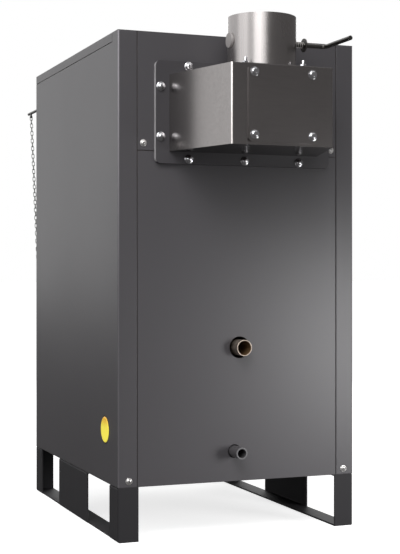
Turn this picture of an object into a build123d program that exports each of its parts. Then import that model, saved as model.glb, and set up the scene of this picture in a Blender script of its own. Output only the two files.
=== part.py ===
from build123d import *
from math import atan2, degrees, hypot
import os

# Solid fuel boiler seen from its flue side. All sizes are in millimetres, +Z is up, the floor is
# Z = 0, the doors face -Y, the flue stands on the +Y side and the draught chain hangs near +X.

# Casing
casing_width = 460
casing_depth = 588
casing_height = 800
leg_height = 96
sheet = 1.5
casing_bend = 3
flange_width = 35
seam_gap = 1.2
hole_margin = 9
lid_lip = 16
lid_lip_notch = 33
rear_seam_drop = 209

# Side frames that carry the boiler
frame_sheet = 3
frame_bend = 4
frame_flange = 38
end_leg = 50
middle_leg = 202

# Flue hood, its plate and its collar
flue_offset = 6.5
plate_size = (339, 182, 8)
plate_corner = 10
plate_drop = 141
hood_base_width = 288
hood_front_width = 188
hood_height = 136
hood_reach = 172
hood_wall = 4
hood_drop = 142.5
hood_edge = 4
smoke_opening = (220, 104)
smoke_pocket = 40
cover_size = (128, 126, 4)
cover_corner = 6
flue_diameter = 120
flue_wall = 2.5
flue_rise = 20
flue_centre = 84
flue_spigot = 26
flue_spigot_step = 1.6
collar_flange = (150, 150, 3)
collar_corner = 8

# Damper across the collar, with its sprung handle
damper_drop = 22
damper_rod = 8
damper_clearance = 3
damper_plate_sheet = 3
boss_diameter = 26
boss_bury = 6
boss_length = 9
spring_clearance = 0.5
spring_wire = 1.6
spring_diameter = 11.8
spring_turns = 5
spring_length = 20
washer_diameter = 24
washer_sheet = 2
handle_offset = 123.5
handle_length = 92
handle_bend = 9

# Water connections
return_hole = 39
return_pipe = (29, 25.6)
return_height = 337
return_reach = 23
drain_pipe = (21.3, 16.2)
drain_side = 10
drain_height = 150
drain_reach = 35
supply_pipe = (33.7, 27)
supply_back = 120
supply_reach = 45
pipe_pocket = 45
pipe_end_step = 0.6
drain_gap = 1.5
supply_gap = 4

# Plugged inspection holes in the sides
plug_diameter = 49
plug_from_rear = 76
plug_height = 190
plug_proud = 1.5
plug_length = 12
plug_clearance = 0.8
plug_edge = 3

# Doors
door_left_margin = 54
door_right_margin = 58
door_bottom_margin = 44
door_top_margin = 131
door_split = 485
door_gap = 40
door_corner = 18
door_thickness = 20
door_border = 26
door_panel_depth = 3
door_edge = 4
door_frame_margin = 14
door_frame_proud = 4
door_frame_gap = 1
door_frame_depth = 12
hinge_diameter = 14
hinge_length = 42
hinge_inset = 45
hinge_arm = (8, 28)
hinge_foot = 6
hinge_gap = 1
handle_boss = (30, 18)
handle_arm = (84, 18, 8)
handle_grip = (26, 62)
handle_grip_sunk = 4
handle_grip_edge = 8
handle_margin = 46

# Air flap on the ash door
flap_width = 100
flap_side_margin = 20
flap_size = (66, 6)
flap_frame_border = 12
air_pocket = 60
flap_frame_thickness = 10
flap_gap = 0.6
flap_rod = 8
flap_rod_height = 250
flap_rod_proud = 38
flap_lug = (8, 22)
flap_lug_drop = 14
flap_lug_gap = 1
flap_lug_edge = 6
flap_lug_foot = (1.5, 3)
flap_corner = 8
flap_arm_sheet = 2.4
flap_arm_width = 14
eye_hole = 7

# Draught regulator, its lever and its chain
regulator_side = 33
lever_height = 840
lever_reach = 203
lever_rod = 6
lever_pivot_proud = 50
lever_eye_back = 22.5
lever_eye_drop = 7
lever_barrel = 12
lever_ring = (9, 5)
knob_diameter = 40
knob_length = 40
knob_ribs = 14
knob_rib_cut = 5
knob_drop = 34
knob_nut = (36, 10)
ear_gap = 0.2
ear_size = (4, 21)
ear_rise = 7
ear_root = 24
pivot_pin = 5
pivot_clearance = 0.1
eye_proud = 66.6
eye_height = 235
chain_pitch = 9
chain_wire = 1.6
chain_inner_width = 3.8
chain_slack = 0.3

# Thermometer
gauge_diameter = 62
gauge_side = -40
gauge_depth = 9
gauge_rim = 4
gauge_edge = 3
gauge_dial_depth = 6

# Places that follow from the sizes above
half_width = casing_width / 2
bottom = leg_height
top = leg_height + casing_height
rear_reach = flue_centre + handle_length + damper_rod / 2
rear = (casing_depth + lever_reach - rear_reach) / 2
front = rear - casing_depth
flue_x = -flue_offset
flue_y = rear + flue_centre
hood_middle = top - hood_drop
hood_top = hood_middle + hood_height / 2
rim = top + flue_rise
axle_z = top - damper_drop
lever_x = half_width - regulator_side
door_left = half_width - door_left_margin
door_right = half_width - door_right_margin
door_width = door_left + door_right
door_middle = (door_right - door_left) / 2
flap_right = door_right - door_border - flap_side_margin
flap_span = (flap_right - flap_width, flap_right)
ash_door_span = (bottom + door_bottom_margin, door_split - door_gap / 2)
loading_door_span = (door_split + door_gap / 2, top - door_top_margin)
door_face = front - door_frame_proud - door_thickness
panel_face = door_face + door_panel_depth
handle_x = door_right - handle_margin
flap_rod_y = front - flap_rod_proud
lever_y = front - lever_pivot_proud
knob_z = lever_height - knob_drop
chain_top = (lever_x, front - lever_reach + lever_eye_back, lever_height - lever_eye_drop)
chain_end = (lever_x, front - eye_proud, eye_height)
plug_y = rear - plug_from_rear
supply_y = front + supply_back
return_place = (0, return_height)
drain_place = (drain_side, drain_height)


def front_plane(x, y, z):
    """Plane that faces the doors' side."""
    return Plane(origin=(x, y, z), x_dir=(1, 0, 0), z_dir=(0, -1, 0))


def rear_plane(x, y, z):
    """Plane that faces the flue's side."""
    return Plane(origin=(x, y, z), x_dir=(-1, 0, 0), z_dir=(0, 1, 0))


def side_plane(y, z):
    """Plane of the thin plates that work with the chain, in the middle of their sheet."""
    return Plane(origin=(lever_x - flap_arm_sheet / 2, y, z), x_dir=(0, 1, 0), z_dir=(1, 0, 0))


def block(x, y, z):
    """Box between the two values given for each axis."""
    size = [abs(pair[1] - pair[0]) for pair in (x, y, z)]
    middle = [(pair[0] + pair[1]) / 2 for pair in (x, y, z)]
    return Pos(*middle) * Box(*size)


def rod(start, end, diameter):
    """Round bar between two points."""
    start, end = Vector(*start), Vector(*end)
    plane = Plane(origin=start, z_dir=end - start)
    return extrude(plane * Circle(diameter / 2), (end - start).length)


def mirrored(shape):
    """The same piece on the -X side."""
    return mirror(shape, Plane.YZ)


def save(name, shape):
    export_step(shape, f"parts/{name}.step")


def casing_plan(inset, low, high):
    """Block with the casing's rounded plan, drawn in by an inset."""
    plan = RectangleRounded(casing_width - 2 * inset, casing_depth - 2 * inset, casing_bend - inset)
    return extrude(Pos(0, (front + rear) / 2, low) * plan, high - low)


def side_panel():
    """Side sheet with its front and rear return flanges and a plugged hole."""
    panel = casing_plan(0, bottom, top - sheet) - casing_plan(sheet, bottom, top - sheet)
    panel &= block((half_width - flange_width, half_width), (front, rear), (bottom, top))
    lip_bottom = top - lid_lip - seam_gap
    lip_space = casing_plan(0, lip_bottom, top) - casing_plan(sheet, lip_bottom, top)
    lip_space &= block((0, half_width), (front, rear - lid_lip_notch), (lip_bottom, top))
    ends = [(half_width + reach, plug_y, plug_height) for reach in (-hole_margin, hole_margin)]
    return panel - lip_space - rod(*ends, plug_diameter)


def top_cover():
    """Lid tray whose side and front lips hang flush with the panels."""
    lid = casing_plan(0, top - sheet, top)
    lips = casing_plan(0, top - lid_lip, top - sheet) - casing_plan(sheet, top - lid_lip, top - sheet)
    lips -= block((-half_width, half_width), (rear - lid_lip_notch - seam_gap, rear), (bottom, top))
    ends = [(0, supply_y, top + reach) for reach in (-hole_margin, hole_margin)]
    return lid + lips - rod(*ends, supply_pipe[0] + 2 * supply_gap)


def rear_cover(low, high):
    """Flat cover between the side panels' rear flanges."""
    edge = half_width - flange_width - seam_gap
    return block((-edge, edge), (rear - sheet, rear), (low, high))


def pipe_holes(start, end):
    """Round holes for the return and drain pipes between two depths."""
    holes = []
    for (x, z), diameter in ((return_place, return_hole), (drain_place, drain_pipe[0] + 2 * drain_gap)):
        holes.append(rod((x, start, z), (x, end, z), diameter))
    return Compound(holes)


def lower_rear_panel():
    panel = rear_cover(bottom, top - rear_seam_drop - seam_gap)
    return panel - pipe_holes(rear - hole_margin, rear + hole_margin)


def smoke_hole(start, end):
    """The way for the smoke through the body and the flue plate."""
    width, height = smoke_opening
    across = (flue_x - width / 2, flue_x + width / 2)
    return block(across, (start, end), (hood_middle - height / 2, hood_middle + height / 2))


def air_hole(start, end):
    """The way for the air behind the flap, through the ash door and its frame."""
    across = (flap_span[0] + flap_frame_border, flap_span[1] - flap_frame_border)
    low = flap_rod_height - flap_size[0] + flap_frame_border
    return block(across, (start, end), (low, flap_rod_height - flap_frame_border))


def upper_rear_cover():
    cover = rear_cover(top - rear_seam_drop, top - sheet)
    return cover - smoke_hole(rear - hole_margin, rear + hole_margin)


def door_opening(grow):
    """Rounded block that the door frame fills, through the front sheet."""
    margin = door_frame_margin + grow
    low, high = ash_door_span[0] - margin, loading_door_span[1] + margin
    plan = RectangleRounded(door_width + 2 * margin, high - low, door_corner)
    plane = front_plane(door_middle, front, (low + high) / 2)
    return extrude(plane * plan, door_frame_depth, both=True)


def front_panel():
    """Front sheet between the flanges, cut out round the door frame."""
    edge = half_width - flange_width - seam_gap
    panel = block((-edge, edge), (front, front + sheet), (bottom, top - lid_lip - seam_gap))
    return panel - door_opening(door_frame_gap)


def door_frame():
    """Cast frame of the boiler body that the doors close on."""
    frame = door_opening(0)
    frame &= block((-half_width, half_width), (front - door_frame_proud, front + sheet), (bottom, top))
    return frame - air_hole(front - door_frame_depth, front + door_frame_depth)


def boiler_body():
    """Insulated boiler block that fills the casing and opens to the flue and the pipes."""
    body = casing_plan(sheet, bottom + sheet, top - sheet)
    body -= smoke_hole(rear - sheet - smoke_pocket, rear)
    body -= air_hole(front, front + air_pocket)
    body -= pipe_holes(rear - pipe_pocket, rear)
    body -= rod((0, supply_y, top - pipe_pocket), (0, supply_y, top), supply_pipe[0] + 2 * supply_gap)
    for side in (-1, 1):
        outer = (side * half_width, plug_y, plug_height)
        inner = (side * (half_width + plug_proud - plug_length), plug_y, plug_height)
        body -= rod(inner, outer, plug_diameter)
    return body


def side_plug():
    """Round plug that fills the side panel's hole, with a softly rounded face."""
    outer = half_width + plug_proud
    ends = [(x, plug_y, plug_height) for x in (outer - plug_length, outer)]
    plug = rod(*ends, plug_diameter - 2 * plug_clearance)
    return fillet(plug.faces().sort_by(Axis.X)[-1].edges(), plug_edge)


def leg_frame():
    """One sheet folded into three feet on a floor flange, open between them."""
    inner_x = half_width - frame_flange
    outside = block((inner_x, half_width), (front, rear), (0, leg_height))
    outer_face = outside.faces().sort_by(Axis.X)[-1]
    outside = fillet(outer_face.edges(), frame_bend)
    inside = block(
        (inner_x, half_width - frame_sheet),
        (front + frame_sheet, rear - frame_sheet),
        (frame_sheet, leg_height - frame_sheet),
    )
    inside = fillet(inside.faces().sort_by(Axis.X)[-1].edges(), frame_bend - frame_sheet)
    frame = outside - inside
    middle_y = (front + rear) / 2
    for side in (-1, 1):
        near = middle_y + side * middle_leg / 2
        far = middle_y + side * (casing_depth / 2 - end_leg)
        window = (min(near, far), max(near, far))
        frame -= block((inner_x - 1, half_width + 1), window, (frame_sheet, leg_height + 1))
        frame -= block((half_width - frame_sheet, half_width + 1), window, (-1, frame_sheet))
    return frame


def flue_base_plate():
    """Thick plate with rounded corners that carries the hood."""
    width, height, thickness = plate_size
    plane = rear_plane(flue_x, rear, top - plate_drop)
    plate = extrude(plane * RectangleRounded(width, height, plate_corner), thickness)
    return plate - smoke_hole(rear - 1, rear + thickness + 1)


def flue_rod(low, high, diameter):
    """Upright round bar on the flue's centre line."""
    return rod((flue_x, flue_y, low), (flue_x, flue_y, high), diameter)


def axle_rod(start, end, diameter):
    """Bar along the damper's axle, between two distances from the flue's centre line."""
    return rod((flue_x + start, flue_y, axle_z), (flue_x + end, flue_y, axle_z), diameter)


def hood_block(inset):
    """Tapered block from the flue plate to the hood's front, drawn in by an inset."""
    start = rear + plate_size[2]
    reach = hood_reach - plate_size[2] - inset
    back = rear_plane(flue_x, start, hood_middle)
    ahead = back.offset(reach)
    wide = back * Rectangle(hood_base_width - 2 * inset, hood_height - 2 * inset)
    narrow = ahead * Rectangle(hood_front_width - 2 * inset, hood_height - 2 * inset)
    return loft([wide.face(), narrow.face()])


def flue_hood():
    """Hollow hood that narrows away from the plate and opens up into the collar."""
    outside = hood_block(0)
    upright = outside.faces().sort_by(Axis.Y)[-1].edges().filter_by(Axis.Z)
    outside = fillet(upright, hood_edge)
    hood = outside - hood_block(hood_wall)
    return hood - flue_rod(hood_middle, rim, flue_diameter - 2 * flue_wall)


def flue_cover_plate():
    """Bolted cleaning cover on the hood's front."""
    width, height, thickness = cover_size
    plane = rear_plane(flue_x, rear + hood_reach, hood_middle)
    return extrude(plane * RectangleRounded(width, height, cover_corner), thickness)


def flue_collar():
    """Round collar with a square foot, holes for the axle and a spigot sized for the stove pipe."""
    width, depth, thickness = collar_flange
    foot = extrude(Pos(flue_x, flue_y, hood_top) * RectangleRounded(width, depth, collar_corner), thickness)
    axle = axle_rod(-flue_diameter, flue_diameter, damper_rod + 2 * pivot_clearance)
    pipe = flue_rod(hood_top, rim - flue_spigot, flue_diameter - flue_spigot_step)
    spigot = flue_rod(rim - flue_spigot, rim, flue_diameter)
    way = flue_rod(hood_middle, rim, flue_diameter - 2 * flue_wall)
    return foot + pipe + spigot - way - axle


def damper_boss():
    """Short boss that closes the axle's far end."""
    start = flue_diameter / 2 - boss_bury
    boss = axle_rod(start, start + boss_length, boss_diameter)
    return boss - flue_rod(hood_top, rim, flue_diameter - flue_spigot_step)


def damper_plate():
    """Round smoke plate fixed through the axle."""
    radius = flue_diameter / 2 - flue_wall - damper_clearance
    half = damper_plate_sheet / 2
    plate = flue_rod(axle_z - half, axle_z + half, 2 * radius)
    return plate - axle_rod(-radius, radius, damper_rod)


def damper_handle():
    """Axle and handle bent from one bar."""
    start = (flue_x + flue_diameter / 2 - 1, flue_y, axle_z)
    corner = (flue_x - handle_offset, flue_y, axle_z)
    end = (flue_x - handle_offset, flue_y + handle_length + damper_rod / 2, axle_z)
    path = FilletPolyline(start, corner, end, radius=handle_bend)
    profile = Plane(origin=start, z_dir=(-1, 0, 0)) * Circle(damper_rod / 2)
    return sweep(profile, path=path)


def damper_spring():
    """Coil between the collar and the washer."""
    start = flue_x - flue_diameter / 2 - spring_clearance
    pitch = (spring_length - spring_wire) / spring_turns
    radius = (spring_diameter - spring_wire) / 2
    coil = Helix(pitch, spring_length - spring_wire, radius)
    begin = coil @ 0
    profile = Plane(origin=begin, z_dir=coil % 0) * RegularPolygon(spring_wire / 2, 6)
    turns = sweep(profile, path=coil, is_frenet=True)
    place = Plane(origin=(start - spring_wire / 2, flue_y, axle_z), z_dir=(-1, 0, 0))
    return place * turns


def damper_washer():
    start = -flue_diameter / 2 - spring_clearance - spring_length
    washer = axle_rod(start, start - washer_sheet, washer_diameter)
    return washer - axle_rod(start, start - washer_sheet, damper_rod)


def stepped_pipe(start, face, end, sizes):
    """Water pipe from inside the body past a face, a little slimmer where it is covered."""
    outer, inner = sizes
    return rod(start, face, outer - pipe_end_step) + rod(face, end, outer) - rod(start, end, inner)


def rear_pipe(place, sizes, reach):
    """Water pipe that comes out of the body through the rear panel."""
    start, face, end = [(place[0], y, place[1]) for y in (rear - pipe_pocket, rear, rear + reach)]
    return stepped_pipe(start, face, end, sizes)


def top_pipe():
    """Water pipe that comes up through the lid."""
    start, face, end = [(0, supply_y, z) for z in (top - pipe_pocket, top, top + supply_reach)]
    return stepped_pipe(start, face, end, supply_pipe)


def door(span):
    """Cast door with rounded corners, a raised border and a sunk panel."""
    low, high = span
    plane = front_plane(door_middle, front - door_frame_proud, (low + high) / 2)
    slab = extrude(plane * RectangleRounded(door_width, high - low, door_corner), door_thickness)
    slab = chamfer(slab.faces().sort_by(Axis.Y)[0].outer_wire().edges(), door_edge)
    sunk = RectangleRounded(door_width - 2 * door_border, high - low - 2 * door_border, door_corner / 2)
    return slab - extrude(plane.offset(door_thickness - door_panel_depth) * sunk, door_panel_depth)


def door_hinges(span):
    """Two hinge knuckles with their arms, at the door's outer edge."""
    low, high = span
    thickness, height = hinge_arm
    x = -door_left - hinge_diameter / 2 - hinge_gap
    y = front - hinge_diameter / 2 - door_frame_proud
    hinges = []
    for z in (low + hinge_inset, high - hinge_inset):
        barrel = rod((x, y, z - hinge_length / 2), (x, y, z + hinge_length / 2), hinge_diameter)
        reach = (z - height / 2, z + height / 2)
        arm = block((x, -door_left), (y - thickness / 2, y + thickness / 2), reach)
        foot = block((x - hinge_foot, x), (y, front - door_frame_proud), reach)
        hinges.append(barrel + arm + foot)
    return Compound(hinges)


def door_handle(span):
    """Turning latch with a flat arm and a round grip."""
    z = (span[0] + span[1]) / 2
    boss_width, boss_height = handle_boss
    length, width, thickness = handle_arm
    diameter, grip_length = handle_grip
    back = panel_face - boss_height
    boss = rod((handle_x, panel_face, z), (handle_x, back, z), boss_width)
    outline = Pos(-length / 2, 0) * SlotOverall(length + width, width)
    arm = extrude(front_plane(handle_x, back, z) * outline, thickness)
    start = back - handle_grip_sunk
    grip = rod((handle_x - length, start, z), (handle_x - length, start - grip_length, z), diameter)
    return boss + arm + fillet(grip.faces().sort_by(Axis.Y)[0].edges(), handle_grip_edge)


def flap_rod_line(grow):
    """Flap rod from inside the left lug to the arm beyond the right lug."""
    start = flap_span[0] - flap_lug[0]
    ends = [(x, flap_rod_y, flap_rod_height) for x in (start, lever_x)]
    return rod(*ends, flap_rod + grow)


def air_inlet():
    """Frame of the air opening on the ash door, with the two lugs that hold the flap rod."""
    left, right = flap_span
    thickness, height = flap_lug
    side_margin, foot_height = flap_lug_foot
    low, high = flap_rod_height - flap_size[0], flap_rod_height
    frame = block((left, right), (panel_face, panel_face - flap_frame_thickness), (low, high))
    frame -= air_hole(panel_face, panel_face - flap_frame_thickness)
    lug_low = high - flap_lug_drop
    for x in (left - thickness - flap_lug_gap, right + flap_lug_gap):
        lug = block((x, x + thickness), (panel_face, flap_rod_y - flap_rod), (lug_low, lug_low + height))
        frame += fillet(lug.edges().filter_by(Axis.X).group_by(Axis.Y)[0], flap_lug_edge)
        foot = (x - side_margin, x + thickness + side_margin)
        frame += block(foot, (panel_face, panel_face - foot_height), (low, lug_low + height))
    return frame - flap_rod_line(2 * pivot_clearance)


def air_flap():
    """Hanging flap with its rod and the side arm that the chain lifts."""
    left, right = flap_span
    drop, thickness = flap_size
    face = panel_face - flap_frame_thickness - flap_gap
    across = (left + flap_lug_gap, right - flap_lug_gap)
    plate = block(across, (face, face - thickness), (flap_rod_height - drop, flap_rod_height))
    plate = fillet(plate.edges().filter_by(Axis.Y).group_by(Axis.Z)[0], flap_corner)
    out, rise = chain_end[1] - flap_rod_y, chain_end[2] - flap_rod_height
    length = hypot(out, rise)
    tilt = Rot(0, 0, degrees(atan2(rise, out)))
    outline = tilt * Pos(length / 2, 0) * SlotOverall(length + flap_arm_width, flap_arm_width)
    hole = tilt * Pos(length, 0) * Circle(eye_hole / 2)
    arm = extrude(side_plane(flap_rod_y, flap_rod_height) * (outline - hole), flap_arm_sheet)
    return plate + flap_rod_line(0) + arm


def draught_regulator():
    """Screwed-in regulator: nut, ribbed knob and the two ears that carry the lever."""
    nut_width, nut_length = knob_nut
    nut_face = front_plane(lever_x, front, knob_z)
    nut = extrude(nut_face * RegularPolygon(nut_width / 2, 6), nut_length)
    outline = Circle(knob_diameter / 2)
    cut = Pos(knob_diameter / 2 + 1, 0) * Circle(knob_rib_cut / 2)
    for turn in range(knob_ribs):
        outline -= Rot(0, 0, turn * 360 / knob_ribs) * cut
    knob = extrude(nut_face.offset(nut_length) * outline, knob_length)
    body = nut + knob
    ear_thickness, ear_depth = ear_size
    half_slot = lever_barrel / 2 + ear_gap
    ear_y = (lever_y - ear_depth / 3, lever_y + 2 * ear_depth / 3)
    for side in (-1, 1):
        across = (lever_x + side * half_slot, lever_x + side * (half_slot + ear_thickness))
        ear = block(across, ear_y, (lever_height - ear_root, lever_height + ear_rise))
        body += fillet(ear.edges().filter_by(Axis.X).group_by(Axis.Z)[-1], ear_rise - 1)
    slot_z = (lever_height - ear_root / 2, lever_height + knob_diameter / 2)
    slot = block((lever_x - half_slot, lever_x + half_slot), (lever_y - ear_depth, front), slot_z)
    ends = [(lever_x + side * lever_barrel, lever_y, lever_height) for side in (-1, 1)]
    return body - slot + rod(*ends, pivot_pin)


def regulator_lever():
    """Lever rod with its pivot barrel and the eye for the chain."""
    half = lever_barrel / 2
    ends = [(x, lever_y, lever_height) for x in (lever_x - half, lever_x + half)]
    bar = rod((lever_x, lever_y, lever_height), (lever_x, front - lever_reach, lever_height), lever_rod)
    outer, inner = lever_ring
    outline = Pos(0, inner / 2) * Rectangle(outer, inner) + Circle(outer / 2) - Circle(inner / 2)
    ring = extrude(side_plane(*chain_top[1:]) * outline, flap_arm_sheet)
    return rod(*ends, lever_barrel) + bar + ring - rod(*ends, pivot_pin + 2 * pivot_clearance)


def regulator_chain():
    """Straight run of interlocked links from the lever's eye to the flap arm's eye."""
    high = Vector(*chain_top)
    run = Vector(*chain_end) - high
    count = 2 * round((run.length / chain_pitch - 1) / 2) + 1
    pitch = (run.length - chain_slack - chain_wire) / count
    inner_length = pitch + chain_slack
    outer = Rectangle(inner_length + 2 * chain_wire, chain_inner_width + 2 * chain_wire)
    outer = chamfer(outer.vertices(), chain_wire * 1.3)
    inner = Rectangle(inner_length, chain_inner_width)
    inner = chamfer(inner.vertices(), chain_wire * 0.6)
    ring = Plane.XZ * (outer - inner)
    link = extrude(ring, chain_wire / 2, both=True)
    line = Plane(origin=high, x_dir=run, z_dir=run.cross(Vector(1, 0, 0)))
    links = []
    for number in range(count):
        place = (inner_length + chain_wire) / 2 + number * pitch
        turn = 90 if number % 2 == 0 else 0
        links.append(line * Pos(place, 0, 0) * Rot(turn, 0, 0) * link)
    return Compound(links)


def thermometer():
    """Round gauge with a raised rim round its dial."""
    z = (loading_door_span[1] + door_frame_margin + top - lid_lip) / 2
    back, dial, face = [(gauge_side, front - out, z) for out in (0, gauge_dial_depth, gauge_depth)]
    gauge = rod(back, face, gauge_diameter)
    gauge = fillet(gauge.faces().sort_by(Axis.Y)[0].edges(), gauge_edge)
    return gauge - rod(dial, face, gauge_diameter - 2 * gauge_rim)


os.makedirs("parts", exist_ok=True)

save("boiler_body", boiler_body())
save("base_plate", casing_plan(sheet, bottom, bottom + sheet))
save("side_panel_right", side_panel())
save("side_panel_left", mirrored(side_panel()))
save("top_cover", top_cover())
save("upper_rear_cover", upper_rear_cover())
save("lower_rear_panel", lower_rear_panel())
save("front_panel", front_panel())
save("door_frame", door_frame())
save("side_plug_right", side_plug())
save("side_plug_left", mirrored(side_plug()))
save("leg_frame_right", leg_frame())
save("leg_frame_left", mirrored(leg_frame()))
save("flue_base_plate", flue_base_plate())
save("flue_hood", flue_hood())
save("flue_cover_plate", flue_cover_plate())
save("flue_collar", flue_collar())
save("damper_boss", damper_boss())
save("damper_plate", damper_plate())
save("damper_handle", damper_handle())
save("damper_spring", damper_spring())
save("damper_washer", damper_washer())
save("return_pipe", rear_pipe(return_place, return_pipe, return_reach))
save("drain_pipe", rear_pipe(drain_place, drain_pipe, drain_reach))
save("supply_pipe", top_pipe())
save("loading_door", door(loading_door_span))
save("ash_door", door(ash_door_span) - air_hole(front, door_face))
for door_name, door_span in (("loading_door", loading_door_span), ("ash_door", ash_door_span)):
    save(door_name + "_hinges", door_hinges(door_span))
    save(door_name + "_handle", door_handle(door_span))
save("air_inlet", air_inlet())
save("air_flap", air_flap())
save("draught_regulator", draught_regulator())
save("regulator_lever", regulator_lever())
save("regulator_chain", regulator_chain())
save("thermometer", thermometer())
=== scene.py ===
"""Solid fuel boiler seen from its flue side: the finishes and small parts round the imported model."""

from math import cos, pi, radians, sin, tau

import bmesh
import bpy
from bpy.props import FloatProperty, FloatVectorProperty, IntProperty, PointerProperty
from bpy.types import Operator, Panel, PropertyGroup
from mathutils import Matrix, Vector


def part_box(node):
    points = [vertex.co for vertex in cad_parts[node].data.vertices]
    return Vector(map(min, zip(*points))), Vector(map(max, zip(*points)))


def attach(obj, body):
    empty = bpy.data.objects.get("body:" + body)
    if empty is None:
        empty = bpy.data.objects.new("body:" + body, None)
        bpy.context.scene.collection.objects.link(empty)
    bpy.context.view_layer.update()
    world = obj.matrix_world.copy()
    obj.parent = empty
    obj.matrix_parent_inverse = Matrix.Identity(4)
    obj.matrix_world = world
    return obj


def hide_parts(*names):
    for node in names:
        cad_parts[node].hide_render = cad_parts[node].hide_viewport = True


bl_info = {
    "name": "Solid Fuel Boiler",
    "version": (1, 0, 0),
    "blender": (4, 5, 0),
    "location": "3D View > Sidebar > Boiler",
    "description": "Finishes and small parts of a solid fuel boiler, with its studio",
    "category": "Object",
}

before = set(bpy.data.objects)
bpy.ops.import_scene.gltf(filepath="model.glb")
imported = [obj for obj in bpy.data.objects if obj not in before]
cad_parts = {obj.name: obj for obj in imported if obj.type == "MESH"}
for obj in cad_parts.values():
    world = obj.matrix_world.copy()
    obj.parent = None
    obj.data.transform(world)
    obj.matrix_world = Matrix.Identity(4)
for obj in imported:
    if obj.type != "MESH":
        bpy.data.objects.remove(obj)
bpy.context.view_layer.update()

UP = Vector((0, 0, 1))
REARWARD = Vector((0, 1, 0))
FORWARD = Vector((0, -1, 0))
SIDEWAYS = Vector((1, 0, 0))

# stretches of a streaked finish: a small number draws it out along that axis
EVEN = (1, 1, 1)
ALONG_X = (0.1, 1, 1)
ALONG_Y = (1, 0.1, 1)
ALONG_Z = (1, 1, 0.01)
ACROSS_Z = (0.1, 0.1, 1)

EDGE_ROUNDING = 0.0008
COLLAR_FOOT = 0.003


def middle(node):
    """Middle of a CAD node's box."""
    low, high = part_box(node)
    return (Vector(low) + Vector(high)) / 2


def linear(red, green, blue):
    """Colour for a shader from the 0 to 255 values of a picture."""
    parts = [value / 255 for value in (red, green, blue)]
    return tuple(v / 12.92 if v <= 0.04045 else ((v + 0.055) / 1.055) ** 2.4 for v in parts)


def solid(colour):
    """Colour with full opacity, as a socket takes it."""
    return (*colour[:3], 1)


def shaded(colour, factor):
    """The same colour, darker or lighter by a factor."""
    return tuple(value * factor for value in colour[:3])


DOOR_PAINT = linear(58, 57, 59)
PLATE_PAINT = linear(66, 64, 67)
# painted highlight of the flue plate's faces turned to +X
PLATE_SIDE_HIGHLIGHT = linear(190, 188, 190)
DRAIN_PAINT = linear(86, 84, 86)
DRAIN_RIM = linear(112, 111, 113)
BODY_STEEL = linear(74, 66, 62)
ROD_STEEL = linear(84, 82, 80)
# painted shade of the flue hood's lower faces
HOOD_UNDERSIDE_SHADE = linear(70, 62, 62)
# painted shade of the flue cover's faces turned to +X
COVER_SIDE_SHADE = linear(70, 66, 66)
# painted highlight along the flue hood's upright fold
FOLD_HIGHLIGHT = linear(236, 230, 228)
PIPE_STEEL = linear(176, 164, 152)
PIPE_RUST = linear(92, 66, 48)
PIPE_BORE = linear(112, 88, 62)
SPRING_STEEL = linear(214, 210, 206)
CHAIN_STEEL = linear(128, 130, 126)
# painted shade towards the top of the side plugs
PLUG_TOP_SHADE = linear(226, 170, 50)
# painted shade of the gap round the side plugs
PLUG_RING_SHADE = linear(40, 34, 24)
# painted shade of the casing screws' cross recesses
RECESS_SHADE = linear(40, 38, 38)
HANDLE_BLACK = linear(34, 33, 34)
GAUGE_RIM = linear(190, 188, 184)
DIAL_CARD = linear(236, 234, 228)
DIAL_INK = linear(28, 28, 30)
POINTER_RED = linear(190, 44, 34)


class Signal:
    """A socket of a material's nodes. Sums and products of signals add Math nodes."""

    def __init__(self, board, socket):
        self.board = board
        self.socket = socket

    def maths(self, operation, *values):
        """Math node on these values."""
        return self.board.add("ShaderNodeMath", {"operation": operation}, dict(enumerate(values)))

    def __add__(self, other):
        return self.maths("ADD", self, other)

    def __sub__(self, other):
        return self.maths("SUBTRACT", self, other)

    def __rsub__(self, other):
        return self.maths("SUBTRACT", other, self)

    def __mul__(self, other):
        return self.maths("MULTIPLY", self, other)

    __radd__ = __add__
    __rmul__ = __mul__

    def ramp(self, low, high):
        """0 below low, 1 above high and smooth between."""
        places = {"Value": self, "From Min": low, "From Max": high}
        return self.board.add("ShaderNodeMapRange", {"interpolation_type": "SMOOTHSTEP"}, places)


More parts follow.
